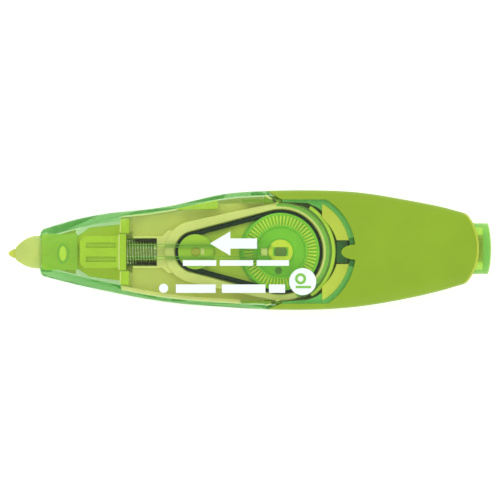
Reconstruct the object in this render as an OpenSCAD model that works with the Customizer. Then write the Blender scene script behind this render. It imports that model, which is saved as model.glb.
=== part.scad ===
// Correction tape roller: a knock-operated, pen-shaped dispenser with a refill cartridge.
// The long axis is X, the knock button is at +X, and +Z is the broad side that faces up.
// The origin is the centre of the object's box in plan, on the surface that it lies on.

/* [Casing] */
// Thickness of the casing over its flat broad faces
body_t = 16.5; // [16.3:0.1:17]
// Wall thickness of the casing
wall = 1.2; // [1:0.1:1.3]
// Length of the rounded corner of a cross-section, measured across the body
corner_y = 3.4; // [2.5:0.1:4]
// Depth of the rounded corner of a cross-section, measured through the body
corner_z = 2.6; // [2:0.1:3]
// Gap between the front casing and the pull-off rear housing
seam = 0.15; // [0.1:0.05:0.25]
// Radius of the rounded end of the clear window
window_r = 17.4; // [17:0.1:17.6]

/* [Tip] */
// Radius of the nose cone
nose_r = 4.7; // [4.4:0.1:4.7]
// Width of the correction tape
tape_w = 4; // [3.6:0.1:4]
// Thickness of the tape with its backing
tape_t = 0.12; // [0.1:0.01:0.14]

/* [Spring] */
// Outer diameter of the return spring
spring_od = 7.1; // [6.9:0.1:7.2]
// Wire diameter of the return spring
spring_wire = 0.5; // [0.4:0.05:0.6]

/* [Drive] */
// Radius of the belt's centre line on the supply pulley
supply_belt_r = 11.2; // [10.8:0.1:11.3]
// Radius of the belt's centre line on the take-up pulley
takeup_belt_r = 5.05; // [4.8:0.05:5.2]
// Diameter of the round drive belt
belt_d = 1.4; // [1.2:0.1:1.4]
// Outer radius of the full tape roll on the supply spool
tape_roll_r = 10.2; // [8:0.1:10.4]
// Number of radial slots in the supply pulley
pulley_slots = 60; // [48:2:60]

/* [Knock] */
// Width of the knock button
button_w = 14.6; // [13.6:0.1:14.8]
// Height of the knock button
button_h = 10.4; // [9.6:0.1:10.6]
// Outer radius of the clicker's sleeve
sleeve_r = 6.4; // [6.2:0.1:6.6]

/* [Hidden] */

mid_z = body_t / 2;
eps = 0.01;
fit = 0.05;
// Plan position of the front mechanism's axis and of the rear mechanism's axis
front_y = -0.6;
rear_y = 0.4;

// Casing stations: [x, upper edge, lower edge, share of the full thickness]
STATIONS = [
    [-60, 5.7, -7.3, 0.75], [-50, 8.7, -9.8, 0.93], [-40, 10.6, -12, 1],
    [-28, 11.8, -14.3, 1], [-18, 13.6, -15.6, 1], [-8, 16, -16.3, 1],
    [4, 16.9, -17, 1], [20, 17.05, -17.05, 1], [32, 16.4, -16.1, 1],
    [46, 14.1, -13.7, 1], [56, 12.1, -11.3, 0.97], [62, 10.4, -9.5, 0.89], [66, 9.1, -8.3, 0.82]
];
body_x0 = -60;
body_x1 = 65.5;
// Round end of the rear housing in plan, and the thickness of its end ring
end_r = 15.6;
end_y = 0.5;
end_ring_t = 0.7;
end_ring_x0 = 58;
seam_ring = 0.02;
loft_steps = 24;
corner_steps = 3;

// Slope of column c at station i, for a smooth curve through the stations
function slope(i, c) =
    let (last = len(STATIONS) - 1, a = max(i - 1, 0), b = min(i + 1, last))
    (STATIONS[b][c] - STATIONS[a][c]) / (STATIONS[b][0] - STATIONS[a][0]);
function interval(x, i = 0) =
    i >= len(STATIONS) - 2 || x < STATIONS[i + 1][0] ? i : interval(x, i + 1);
function casing(x, c) =
    let (i = interval(x), w = STATIONS[i + 1][0] - STATIONS[i][0])
    let (t = (x - STATIONS[i][0]) / w, p = STATIONS[i][c], q = STATIONS[i + 1][c])
    p * (1 + 2 * t) * pow(1 - t, 2) + q * t * t * (3 - 2 * t)
    + w * t * (1 - t) * (slope(i, c) * (1 - t) - slope(i + 1, c) * t);

// Rounded cross-section of the casing at x, moved in by inset
function section(x, inset) =
    let (top = casing(x, 1) - inset, bottom = casing(x, 2) + inset)
    let (half = mid_z * casing(x, 3) - inset, cy = corner_y - inset / 2, cz = corner_z - inset / 2)
    [for (q = [0:3], s = [0:corner_steps])
        let (a = 90 * (q + s / corner_steps))
        let (y0 = (q == 0 || q == 3) ? top - cy : bottom + cy)
        let (z0 = q < 2 ? half - cz : cz - half)
        [x, y0 + cy * cos(a), mid_z + z0 + cz * sin(a)]];

// Solid skin through the cross-sections between two places along X
module loft(x0, x1, inset) {
    n = 4 * (corner_steps + 1);
    xs = [for (i = [0:loft_steps]) x0 + (x1 - x0) * i / loft_steps];
    points = [for (x = xs) each section(x, inset)];
    sides = [for (i = [0:loft_steps - 1], k = [0:n - 1])
        let (a = i * n + k, b = i * n + (k + 1) % n)
        each [[b, a, a + n], [b, a + n, b + n]]];
    first = [for (k = [0:n - 1]) k];
    last = [for (k = [0:n - 1]) (loft_steps + 1) * n - 1 - k];
    polyhedron(points, concat(sides, [first, last]));
}

module casing_shell() {
    difference() {
        loft(body_x0, body_x1, 0);
        loft(body_x0 - eps, body_x1 + eps, wall);
    }
}

// Plan region of the clear front casing, with the window that reaches into the rear housing
window_c = [12.75, front_y];
window_top = 14.25;
window_bottom = -15.1;
rim_x = 4.5;
rim_slant = 4.5;

module front_region(gap = 0) {
    offset_x = rim_x + gap;
    polygon([[-80, -30], [offset_x, -30], [offset_x, -17.1], [offset_x + rim_slant, window_bottom],
        [offset_x + rim_slant, window_top], [offset_x, 17.1], [offset_x, 30], [-80, 30]]);
    intersection() {
        translate(window_c) circle(r = window_r + gap, $fn = 96);
        translate([0, window_bottom - gap]) square([40, window_top - window_bottom + 2 * gap]);
    }
}

module half_space(upper) {
    translate([-100, -30, upper ? mid_z : mid_z - 30]) cube([200, 60, 30]);
}

module front_half(upper) {
    intersection() {
        casing_shell();
        translate([0, 0, -1]) linear_extrude(body_t + 2) front_region();
        half_space(upper);
    }
}

// Everything in front of the round end, moved forward by inset
module round_end(inset = 0) {
    centre_x = body_x1 - inset - end_r;
    translate([0, 0, -1]) linear_extrude(body_t + 2) {
        translate([centre_x, end_y]) circle(r = end_r, $fn = 128);
        translate([-100, -30]) square([100 + centre_x, 60]);
    }
}

module rear_half(upper) {
    difference() {
        intersection() {
            casing_shell();
            half_space(upper);
            round_end(end_ring_t);
        }
        translate([0, 0, -1]) linear_extrude(body_t + 2) front_region(seam);
    }
}

// Liner under the round end of the window, between the roof and the cartridge
liner_r = [12.6, 16];
liner_z = 14.3;
liner_t = 0.8;

module window_liner() {
    color("#a5b94b") translate([window_c[0], window_c[1], liner_z]) linear_extrude(liner_t)
        difference() {
            circle(r = liner_r[1], $fn = 96);
            circle(r = liner_r[0], $fn = 96);
            translate([-20, -20]) square([28, 40]);
            translate([0, -3.4]) square([20, 6.8]);
            for (side = [-1, 1])
                translate([0, side * 13.6 - (side < 0 ? 10 : 0)]) square([20, 10]);
        }
}

// Two long ribs under the window keep the belt and the spring down
rib_w = 0.9;
rib_y = [0.75, -2.75];
rib_x0 = -34.5;
rib_x1 = 6.3;
rib_z = 14.15;

module clear_shell_upper() {
    color("#78b845", 0.6) {
        front_half(true);
        for (y = rib_y)
            translate([rib_x0, y, rib_z]) cube([rib_x1 - rib_x0, rib_w, body_t - wall - rib_z + 0.2]);
    }
}

module clear_shell_lower() {
    color("#78b845", 0.6) front_half(false);
}

// Fixed bridge over and under the nose, with the flange that the return spring pushes on
bridge_w = 9;
bridge_x0 = -48.3;
flange_x0 = -36.95;
flange_t = 1.8;
flange_w = 10.3;
bridge_z = 5.05;
bridge_t = 1.3;
neck_hole_r = 2.95;
groove_y = [0.6, -3.4];
groove_w = 1.5;
groove_depth = 0.5;

module guide_bridge() {
    color("#b9d63a") difference() {
        union() {
            for (side = [-1, 1])
                translate([bridge_x0, front_y - bridge_w / 2,
                    mid_z + (side > 0 ? bridge_z : -bridge_z - bridge_t)])
                    cube([flange_x0 - bridge_x0 + eps, bridge_w, bridge_t]);
            translate([flange_x0, front_y - flange_w / 2, mid_z - bridge_z - bridge_t])
                cube([flange_t, flange_w, 2 * (bridge_z + bridge_t)]);
            translate([0, 0, mid_z - bridge_z - bridge_t]) linear_extrude(bridge_t)
                polygon([[-49.9, 2.6], [-49, 4.3], [-46, 6.4], [flange_x0 + eps, 7.4],
                    [flange_x0 + eps, -8.8], [-46, -7.6], [-49, -5.6], [-49.9, -4]]);
        }
        translate([flange_x0 - 1, front_y, mid_z])
            rotate([0, 90, 0]) cylinder(h = 5, r = neck_hole_r, $fn = 48);
        for (side = [-1, 1])
            translate([bridge_x0, front_y + side * bridge_w / 2, body_t])
                rotate([0, 0, 45]) cube([2, 2, 12], center = true);
        for (y = groove_y)
            translate([bridge_x0 + 1.8, y, mid_z + bridge_z + bridge_t - groove_depth])
                cube([8.4, groove_w, 2]);
    }
}

// Rear housing: opaque covers, two snap arms, a tab over the window and the sleeve's cradles
arm_x0 = -2.3;
arm_x1 = 9;
arm_h = 5;
web_x = 1.4;
cradle_x = [41, 46];
cradle_t = 1.2;

module snap_arms() {
    for (arm = [[13.8, 0.7, 15.9], [-15.4, 0.5, -15.9]]) {
        translate([arm_x0, arm[0], mid_z]) cube([arm_x1 - arm_x0, arm[1], arm_h]);
        translate([arm_x1 - web_x, min(arm[0], arm[2]), mid_z])
            cube([web_x, abs(arm[2] - arm[0]), arm_h]);
    }
}

module cradles() {
    intersection() {
        loft(35, 60, wall - 0.1);
        for (x = cradle_x)
            translate([x, -20, -1]) cube([cradle_t, 40, body_t + 2]);
    }
}

module rear_cover_upper() {
    color("#93b63e") difference() {
        union() {
            rear_half(true);
            snap_arms();
            intersection() {
                cradles();
                half_space(true);
            }
        }
        translate([30, rear_y, mid_z]) rotate([0, 90, 0]) cylinder(h = 30, r = sleeve_r + fit, $fn = 64);
    }
}

module rear_cover_lower() {
    color("#93b63e") difference() {
        union() {
            rear_half(false);
            intersection() {
                cradles();
                half_space(false);
            }
        }
        translate([30, rear_y, mid_z]) rotate([0, 90, 0]) cylinder(h = 30, r = sleeve_r + fit, $fn = 64);
    }
}

// A rounded rectangle across the body, w wide and h high, pushed along X
module rounded_bar(x0, x1, y, w, h, r) {
    translate([x0, y, mid_z]) rotate([90, 0, 90]) linear_extrude(x1 - x0) {
        square([w - 2 * r, h], center = true);
        square([w, h - 2 * r], center = true);
        for (sy = [-1, 1], sz = [-1, 1])
            translate([sy * (w / 2 - r), sz * (h / 2 - r)]) circle(r = r, $fn = 48);
    }
}

// Curved end ring around the knock button
module rear_end_ring() {
    color("#b1c639") difference() {
        intersection() {
            loft(end_ring_x0, body_x1 + 0.4, 0);
            round_end();
        }
        round_end(end_ring_t - seam_ring);
        rounded_bar(body_x1 - 10, body_x1 + 1, rear_y, button_w + 0.6, button_h + 0.6, 3.6);
    }
}

// Knock button: a deep cup with a retaining collar inside the housing
button_x0 = 51.2;
button_x1 = 69.05;
button_wall = 1.1;

module knock_button() {
    color("#6aae47", 0.7) difference() {
        union() {
            intersection() {
                rounded_bar(button_x0, button_x1, rear_y, button_w, button_h, 3.4);
                translate([button_x1 - 34, rear_y, 0]) cylinder(h = body_t, r = 34, $fn = 128);
            }
            rounded_bar(button_x0, button_x0 + 1, rear_y, button_w + 1.8, button_h + 1.4, 3.8);
        }
        rounded_bar(button_x0 - 1, button_x1 - 2.2, rear_y,
            button_w - 2 * button_wall, button_h - 2 * button_wall, 2.4);
    }
}

module x_tube(x0, x1, y, r_out, r_in = 0) {
    translate([x0, y, mid_z]) rotate([0, 90, 0]) difference() {
        cylinder(h = x1 - x0, r = r_out, $fn = 64);
        if (r_in > 0) translate([0, 0, -1]) cylinder(h = x1 - x0 + 2, r = r_in, $fn = 64);
    }
}

// Clicker: a sleeve with a grooved ring, a rotor with ribs and a toothed plunger
sleeve_x0 = 38.2;
sleeve_x1 = 49.2;
sleeve_bore = 5.35;
ring_x = [44.4, 48.4];
ring_bore = 4.15;
rotor_r = 4;
rotor_x = [40.7, 47.4];
rotor_rib_x = [41.3, 44.2];
rotor_rib_r = 5.15;
rod_r = 2.5;
cam_ribs = 3;
cam_teeth = 6;

module cam_ribs_at(x0, x1, r, w) {
    for (i = [0:cam_ribs - 1])
        translate([0, rear_y, mid_z]) rotate([i * 360 / cam_ribs, 0, 0])
            translate([x0, -w / 2, 0]) cube([x1 - x0, w, r]);
}

module cam_sleeve() {
    color("#d8dcc8") difference() {
        union() {
            x_tube(sleeve_x0, sleeve_x1, rear_y, sleeve_r, sleeve_bore);
            x_tube(sleeve_x0, sleeve_x0 + 0.8, rear_y, sleeve_r, rod_r + 0.15);
            x_tube(ring_x[0], ring_x[1], rear_y, sleeve_bore + eps, ring_bore);
        }
        cam_ribs_at(ring_x[0] - 1, ring_x[1] + 1, sleeve_bore, 2.2);
    }
}

module rotor_cam() {
    color("#e4e6da") {
        x_tube(rotor_x[0], rotor_x[1] - 1.4, rear_y, rotor_r, 1.5);
        cam_crown(rotor_x[1] - 1.5, rotor_x[1]);
        difference() {
            cam_ribs_at(rotor_rib_x[0], rotor_rib_x[1], rotor_rib_r, 1.6);
            x_tube(rotor_x[0] - 1, rotor_x[1], rear_y, rotor_r - 0.2);
        }
    }
}

// Ring of blunt teeth on the end of a tube
module cam_crown(x0, x1) {
    intersection() {
        x_tube(x0, x1, rear_y, rotor_r, 2.6);
        for (i = [0:cam_teeth - 1])
            translate([0, rear_y, mid_z]) rotate([i * 360 / cam_teeth, 0, 0])
                translate([x0, -0.9, 0]) cube([x1 - x0, 1.8, rotor_r]);
    }
}

module cam_plunger() {
    color("#e4e6da") {
        cam_crown(47.55, 48.7);
        x_tube(48.6, 60, rear_y, rotor_r, 2.4);
        x_tube(60, button_x1 - 2.2, rear_y, rotor_r);
        translate([60, rear_y - 5.9, mid_z - 1]) cube([3, 11.8, 2]);
    }
}

// Pusher between the clicker and the end of the cartridge
block_x = [24.9, 28.1];

module pusher_block() {
    color("#5e8e3e") {
        translate([block_x[0], -3.7, mid_z - 3.6]) cube([block_x[1] - block_x[0], 7.7, 7.2]);
        x_tube(block_x[1], rotor_x[0] - 0.1, rear_y, rod_r);
    }
}

// Cartridge outline in plan: a straight front, sides that follow the casing, a round end
cart_x0 = -33.4;
cart_end_c = [9.9, -0.5];
cart_end_r = 14.2;
cart_wall = 0.9;
base_z = 1.5;
base_t = 1;
base_inset = 1.6;
wall_z = 2.9;
floor_z = wall_z + base_t;
deck_z = 10.5;
deck_t = 0.7;

module cartridge_outline(inset = 0) {
    translate(cart_end_c) circle(r = cart_end_r - inset, $fn = 96);
    polygon([[cart_x0 + inset, 9.4 - inset], [-26, 10.2 - inset], [-19, 11.3 - inset],
        [-12, 13.2 - inset], [6, 13.2 - inset], [6, -14.3 + inset], [-14, -14.2 + inset],
        [-22, -13.3 + inset], [-28, -12.4 + inset], [cart_x0 + inset, -11.4 + inset]]);
}

supply_c = [8.93, -0.5];
takeup_c = [-15.3, -0.5];
supply_pin_r = 1.8;
takeup_pin_r = 1.25;
pocket_w = 7.8;
seat_x = [-26.4, -24.7];

module spring_pocket(z0, h) {
    translate([cart_x0 - 1, front_y - pocket_w / 2, z0])
        cube([seat_x[1] - cart_x0 + 1, pocket_w, h]);
}

module cartridge_base() {
    color("#bcc76d") difference() {
        union() {
            translate([0, 0, base_z]) linear_extrude(wall_z - base_z + eps)
                cartridge_outline(base_inset);
            translate([0, 0, wall_z]) linear_extrude(base_t) cartridge_outline();
            translate([0, 0, wall_z]) linear_extrude(deck_z - wall_z) difference() {
                cartridge_outline();
                cartridge_outline(cart_wall);
            }
        }
        spring_pocket(wall_z + base_t, 20);
    }
}

// Filled outline of a loop around both pulleys, r1 and r2 from their centres
loop_len = supply_c[0] - takeup_c[0];
big_steps = 60;
small_steps = 24;

function direction(a) = [cos(a), sin(a)];

module loop_outline(r1, r2) {
    lean = asin((r1 - r2) / loop_len);
    wrap = 90 + lean;
    big = [for (i = [0:big_steps]) supply_c + r1 * direction(-wrap + 2 * wrap * i / big_steps)];
    small = [for (i = [0:small_steps])
        takeup_c + r2 * direction(wrap + (360 - 2 * wrap) * i / small_steps)];
    polygon(concat(big, small));
}

teardrop_gap = 1;
teardrop_wall = 1.8;
teardrop_h = 2.6;

module cartridge_deck() {
    color("#d4da7c") difference() {
        union() {
            translate([0, 0, deck_z]) linear_extrude(deck_t) cartridge_outline();
            translate([0, 0, deck_z + deck_t - eps]) linear_extrude(teardrop_h) difference() {
                loop_outline(supply_belt_r + teardrop_gap + teardrop_wall,
                    takeup_belt_r + teardrop_gap + teardrop_wall);
                loop_outline(supply_belt_r + teardrop_gap, takeup_belt_r + teardrop_gap);
            }
        }
        spring_pocket(deck_z - 1, 10);
        translate([supply_c[0], supply_c[1], 0]) cylinder(h = 20, r = 3.6, $fn = 48);
        translate([takeup_c[0], takeup_c[1], 0]) cylinder(h = 20, r = 2.6, $fn = 48);
    }
}

module spring_seat() {
    color("#cfd68a") difference() {
        translate([seat_x[0], front_y - 3.7, floor_z])
            cube([seat_x[1] - seat_x[0], 7.4, deck_z - floor_z]);
        translate([seat_x[0] - 1, front_y - 1.6, mid_z - 2.6]) cube([4, 3.2, 10]);
    }
}

// Flat neck through the spring: a web with lips, and tape on both of its faces
neck_x = [-50, -24.7];
web_t = 1;
lip_h = 0.4;

module tape_neck() {
    color("#c9dc5a") {
        translate([neck_x[0], front_y - web_t / 2, mid_z - 2.5]) cube([neck_x[1] - neck_x[0], web_t, 5]);
        for (z = [mid_z - 2.5, mid_z + 2.5 - lip_h])
            translate([neck_x[0], front_y - 1.1, z]) cube([neck_x[1] - neck_x[0], 2.2, lip_h]);
    }
}

// Nose cone: a round barrel with a curved taper in plan and a chisel taper from the side
nose_x0 = -66.8;
nose_x1 = -49.1;
nose_taper = 6.2;
nose_front_half = 1.7;
tip_y = -1;
nose_steps = 12;

// Half width of the nose at a share t of its taper, and its centre line there
function nose_half(t) = nose_front_half + (nose_r - nose_front_half) * t * (2 - t);
function nose_centre(t) = tip_y + (front_y - tip_y) * t * (2 - t);

module nose_plan() {
    upper = [for (i = [0:nose_steps])
        let (t = i / nose_steps)
        [nose_x0 + nose_taper * t, nose_centre(t) + nose_half(t)]];
    lower = [for (i = [nose_steps:-1:0])
        let (t = i / nose_steps)
        [nose_x0 + nose_taper * t, nose_centre(t) - nose_half(t)]];
    polygon(concat(upper, [[nose_x1, front_y + nose_r], [nose_x1, front_y - nose_r]], lower));
}

module nose_cone() {
    color("#c6de78") difference() {
        intersection() {
            x_tube(nose_x0, nose_x1, front_y, nose_r);
            linear_extrude(body_t) nose_plan();
            translate([0, 20, mid_z]) rotate([90, 0, 0]) linear_extrude(40)
                polygon([[nose_x0, 3.2], [-60.5, nose_r], [nose_x1, nose_r],
                    [nose_x1, -nose_r], [-60.5, -nose_r], [nose_x0, -3.2]]);
        }
        translate([nose_x0 - 1, tip_y - 1.5, mid_z - 2.75]) cube([20, 3.1, 5.5]);
        translate([-53.2, tip_y, mid_z + nose_r / 2]) {
            translate([-1.3, -1.2, 0]) cube([2.6, 2.4, 10]);
            for (side = [-1, 1])
                translate([0, side * 1.2, 0]) cylinder(h = 10, r = 1.3, $fn = 32);
        }
    }
}

tip_x0 = -68.9;
tip_r = 0.8;
tip_back = -50.2;
tip_steps = 12;

module applicator_tip() {
    nose = [for (i = [0:tip_steps])
        [tip_x0 + tip_r, tip_y] + tip_r * direction(90 + 180 * i / tip_steps)];
    color("#d0de5e") translate([0, 0, mid_z - 2.45]) linear_extrude(4.9)
        polygon(concat(nose, [[-67.4, tip_y - 1.15], [-65.8, tip_y - 1.3], [-61, front_y - 0.5],
            [tip_back, front_y - 0.5], [tip_back, front_y + 0.5], [-61, front_y + 0.5],
            [-65.8, tip_y + 1.3], [-67.4, tip_y + 1.15]]));
}

// Tape runs: thin strips on edge, each a chain of straight pieces
out_y = front_y + web_t / 2 + 0.1;
back_y = front_y - web_t / 2 - 0.1 - tape_t;

module tape_strip(points) {
    translate([0, 0, mid_z - tape_w / 2]) linear_extrude(tape_w)
        polygon(concat(points, [for (i = [len(points) - 1:-1:0]) points[i] + [0, tape_t]]));
}

module tape_run_out() {
    color("white") tape_strip([[-68.2, tip_y + tip_r + 0.04], [-67.4, tip_y + 1.17],
        [-65.8, tip_y + 1.32], [-61, out_y], [-24.4, out_y], [-22, 3.4],
        [supply_c[0] - 3.2, supply_c[1] + tape_roll_r - 0.25]]);
}

module tape_run_return() {
    color("#e8e2c4") tape_strip([[-68.2, tip_y - tip_r - 0.04 - tape_t], [-67.4, tip_y - 1.17 - tape_t],
        [-65.8, tip_y - 1.32 - tape_t], [-61, back_y], [-24.4, back_y],
        [-21.6, -3.05], [takeup_c[0] - 0.2, takeup_c[1] - 4.25]]);
}

// The coil, as a stack of closed turns between the flange and the seat
coil_turns = 13;
spring_x = [flange_x0 + flange_t, seat_x[0]];

module return_spring() {
    r = (spring_od - spring_wire) / 2;
    pitch = (spring_x[1] - spring_x[0] - spring_wire) / (coil_turns - 1);
    color("#7d8280") for (i = [0:coil_turns - 1])
        translate([spring_x[0] + spring_wire / 2 + i * pitch, front_y, mid_z]) rotate([0, 90, 0])
            rotate_extrude($fn = 48) translate([r, 0]) circle(d = spring_wire, $fn = 16);
}

post_x = -21.4;
post_y = [2.4, -2];
post_r = 0.9;

module guide_posts() {
    color("#d9dccb") for (y = post_y)
        translate([post_x, y, floor_z]) cylinder(h = deck_z - floor_z, r = post_r, $fn = 32);
}

axle_top = 13.9;

module supply_axle() {
    color("#9cbf3b") translate([supply_c[0], supply_c[1], floor_z])
        cylinder(h = axle_top - floor_z, r = supply_pin_r, $fn = 48);
}

module takeup_axle() {
    color("#7c8f3c") translate([takeup_c[0], takeup_c[1], floor_z])
        cylinder(h = axle_top - floor_z, r = takeup_pin_r, $fn = 48);
}

module ring_at(c, z0, z1, r_out, r_in) {
    translate([c[0], c[1], z0]) difference() {
        cylinder(h = z1 - z0, r = r_out, $fn = 96);
        translate([0, 0, -1]) cylinder(h = z1 - z0 + 2, r = r_in, $fn = 64);
    }
}

tape_z0 = mid_z - tape_w / 2;
tape_z1 = mid_z + tape_w / 2;
core_r = 5;

module supply_spool() {
    color("#e6e8df") {
        ring_at(supply_c, 4.6, tape_z1, core_r, supply_pin_r + fit);
        ring_at(supply_c, tape_z0 - 0.8, tape_z0 - 0.2, 10.8, core_r - 0.5);
    }
}

module supply_tape_roll() {
    color("white") ring_at(supply_c, tape_z0, tape_z1, tape_roll_r, core_r);
}

module clutch_ring() {
    color("#6d6f6a") ring_at(supply_c, floor_z + 0.1, 4.6, 4.2, supply_pin_r + fit);
}

// Pulleys: a groove for the round belt between two flanges, on a hub through the deck
pulley_z0 = 11.45;
pulley_z1 = 13.8;
belt_z = 12.55;
belt_gap = 0.12;

module pulley(c, belt_r, flange_r, hub_r, pin_r) {
    ring_at(c, pulley_z0, pulley_z0 + 0.4, flange_r, pin_r + fit);
    ring_at(c, pulley_z0 + 0.3, pulley_z1 - 0.3, belt_r - belt_d / 2 - belt_gap, pin_r + fit);
    ring_at(c, pulley_z1 - 0.5, pulley_z1, belt_r, pin_r + fit);
    ring_at(c, tape_z1, pulley_z0 + 0.1, hub_r, pin_r + fit);
}

slot_r = [7.7, 10.3];
slot_w = 0.5;
slot_depth = 0.6;

module supply_pulley() {
    color("#87c13d") difference() {
        pulley(supply_c, supply_belt_r, supply_belt_r + 0.7, 3.3, supply_pin_r);
        for (i = [0:pulley_slots - 1])
            translate([supply_c[0], supply_c[1], pulley_z1 - slot_depth])
                rotate([0, 0, i * 360 / pulley_slots])
                translate([slot_r[0], -slot_w / 2, 0]) cube([slot_r[1] - slot_r[0], slot_w, 2]);
        ring_at(supply_c, pulley_z1 - 0.5, pulley_z1 + 1, 7.2, 3.6);
    }
}

module takeup_spool() {
    color("#e6e8df") {
        ring_at(takeup_c, floor_z + 0.1, tape_z1, 3.3, takeup_pin_r + fit);
        ring_at(takeup_c, tape_z0 - 0.8, tape_z0 - 0.2, 4.9, 3);
    }
}

module takeup_tape_roll() {
    color("#e8e2c4") ring_at(takeup_c, tape_z0, tape_z1, 3.9, 3.3);
}

module takeup_pulley() {
    color("#9fb83c") pulley(takeup_c, takeup_belt_r, takeup_belt_r + 0.6, 2.4, takeup_pin_r);
}

// Belt: one closed loop around both pulleys
module drive_belt() {
    color("#24352a") translate([0, 0, belt_z - belt_d / 2]) linear_extrude(belt_d) difference() {
        loop_outline(supply_belt_r + belt_d / 2, takeup_belt_r + belt_d / 2);
        loop_outline(supply_belt_r - belt_d / 2, takeup_belt_r - belt_d / 2);
    }
}

// Spring arm that stops the take-up reel from running backwards
module reverse_stop_pawl() {
    color("#cfd68a") {
        translate([-6.5, -9.5, floor_z]) cylinder(h = 2.6, r = 1.2, $fn = 32);
        translate([-6.5, -9.5, floor_z + 0.6]) rotate([0, 0, 152])
            translate([0, -0.4, 0]) cube([7, 0.8, 1.6]);
    }
}

clear_shell_upper();
clear_shell_lower();
guide_bridge();
window_liner();
rear_cover_upper();
rear_cover_lower();
rear_end_ring();
knock_button();
cam_sleeve();
cam_plunger();
rotor_cam();
pusher_block();
cartridge_base();
cartridge_deck();
spring_seat();
tape_neck();
nose_cone();
applicator_tip();
return_spring();
guide_posts();
supply_axle();
supply_spool();
supply_tape_roll();
clutch_ring();
supply_pulley();
takeup_axle();
takeup_spool();
takeup_tape_roll();
takeup_pulley();
drive_belt();
reverse_stop_pawl();
tape_run_out();
tape_run_return();
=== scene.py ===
"""Correction tape roller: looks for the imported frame.

Units are metres in the CAD frame: +X towards the knock button, +Z out of the broad face that is
shown, with the underside at Z = 0. A length in millimetres is written n * MM, and where a title or
a comment says so, numbers are plain millimetres.
"""
import math

import bmesh
import bpy
import numpy as np
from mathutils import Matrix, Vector
from mathutils.bvhtree import BVHTree


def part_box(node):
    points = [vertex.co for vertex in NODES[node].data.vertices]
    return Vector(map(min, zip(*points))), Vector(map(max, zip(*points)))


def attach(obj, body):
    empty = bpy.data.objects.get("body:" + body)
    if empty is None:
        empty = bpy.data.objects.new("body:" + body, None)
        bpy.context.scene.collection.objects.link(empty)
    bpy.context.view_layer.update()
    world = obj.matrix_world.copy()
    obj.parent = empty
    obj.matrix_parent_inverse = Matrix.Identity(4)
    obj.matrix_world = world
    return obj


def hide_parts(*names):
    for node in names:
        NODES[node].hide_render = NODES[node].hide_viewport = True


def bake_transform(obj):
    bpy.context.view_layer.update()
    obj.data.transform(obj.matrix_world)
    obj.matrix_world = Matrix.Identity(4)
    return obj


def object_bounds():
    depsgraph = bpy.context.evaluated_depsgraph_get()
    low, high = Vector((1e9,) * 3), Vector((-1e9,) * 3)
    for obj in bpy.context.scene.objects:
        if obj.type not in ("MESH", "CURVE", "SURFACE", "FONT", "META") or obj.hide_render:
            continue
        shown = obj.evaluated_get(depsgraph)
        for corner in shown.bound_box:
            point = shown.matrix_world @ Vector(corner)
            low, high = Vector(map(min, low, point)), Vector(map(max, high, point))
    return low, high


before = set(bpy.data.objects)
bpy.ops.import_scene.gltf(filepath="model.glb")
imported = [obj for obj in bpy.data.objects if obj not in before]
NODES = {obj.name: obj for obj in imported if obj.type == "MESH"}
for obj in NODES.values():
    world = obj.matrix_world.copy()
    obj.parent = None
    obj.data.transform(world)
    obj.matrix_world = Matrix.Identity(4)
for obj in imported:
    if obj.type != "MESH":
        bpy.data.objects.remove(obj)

CAD_BOX = [list(corner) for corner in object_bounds()]
MM = 0.001


# ---------------------------------------------------------------- places taken from the frame

def middle(node):
    """Centre of a CAD node's box."""
    low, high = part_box(node)
    return (low + high) / 2


LOW, HIGH = Vector(CAD_BOX[0]), Vector(CAD_BOX[1])
MID_Z = HIGH.z / 2
SUPPLY = middle("supply_axle")
TAKEUP = middle("takeup_axle")
FRONT_Y = middle("nose_cone").y
REAR_Y = middle("rotor_cam").y
BODY_X0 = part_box("clear_shell_upper")[0].x
BODY_X1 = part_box("rear_end_ring")[1].x
WINDOW_X1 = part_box("clear_shell_upper")[1].x
WALL = 1.2 * MM
# How far the drawn skin lies inside the CAD skin, and the gap between the two casing halves
PROUD = 0.04 * MM
SEAM = 0.15 * MM
# Far enough out to pass the casing on every side
CLEAR_OF_CASING = 30 * MM


# ---------------------------------------------------------------- mesh helpers

def piece(name, verts, faces, body, material, slot, stands_for=(), smooth=40):
    """A closed mesh that rides on a body, shaded smooth below the given edge angle."""
    mesh = bpy.data.meshes.new(name)
    mesh.from_pydata([tuple(v) for v in verts], [], [tuple(f) for f in faces])
    return finish_piece(mesh, name, body, material, stands_for, smooth)


def finish_piece(mesh, name, body, material, stands_for=(), smooth=40):
    """Cleans a mesh and makes it an object that rides on a body, or on none yet."""
    tidy = bmesh.new()
    tidy.from_mesh(mesh)
    bmesh.ops.remove_doubles(tidy, verts=tidy.verts, dist=1e-6)
    bmesh.ops.recalc_face_normals(tidy, faces=tidy.faces)
    tidy.to_mesh(mesh)
    tidy.free()
    obj = bpy.data.objects.new(name, mesh)
    bpy.context.scene.collection.objects.link(obj)
    obj.data.materials.append(material)
    for polygon in mesh.polygons:
        polygon.use_smooth = True
    mesh.set_sharp_from_angle(angle=math.radians(smooth))
    if body:
        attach(obj, body)
    if stands_for:
        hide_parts(*stands_for)
    return obj


def prism(outline, z0, z1):
    """A plan outline raised from z0 to z1."""
    n = len(outline)
    verts = [(x, y, z) for z in (z0, z1) for x, y in outline]
    faces = [tuple(range(n))[::-1], tuple(range(n, 2 * n))]
    faces += [(i, (i + 1) % n, n + (i + 1) % n, n + i) for i in range(n)]
    return verts, faces


def rings_to_mesh(rings, closed=False):
    """Joins rings of points with quads, and caps both ends unless the rings close on themselves."""
    n, count = len(rings[0]), len(rings)
    verts = [p for ring in rings for p in ring]
    faces = []
    for i in range(count if closed else count - 1):
        a, b = i * n, (i + 1) % count * n
        faces += [(a + k, a + (k + 1) % n, b + (k + 1) % n, b + k) for k in range(n)]
    if not closed:
        faces += [tuple(range(n))[::-1], tuple(range((count - 1) * n, count * n))]
    return verts, faces


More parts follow.
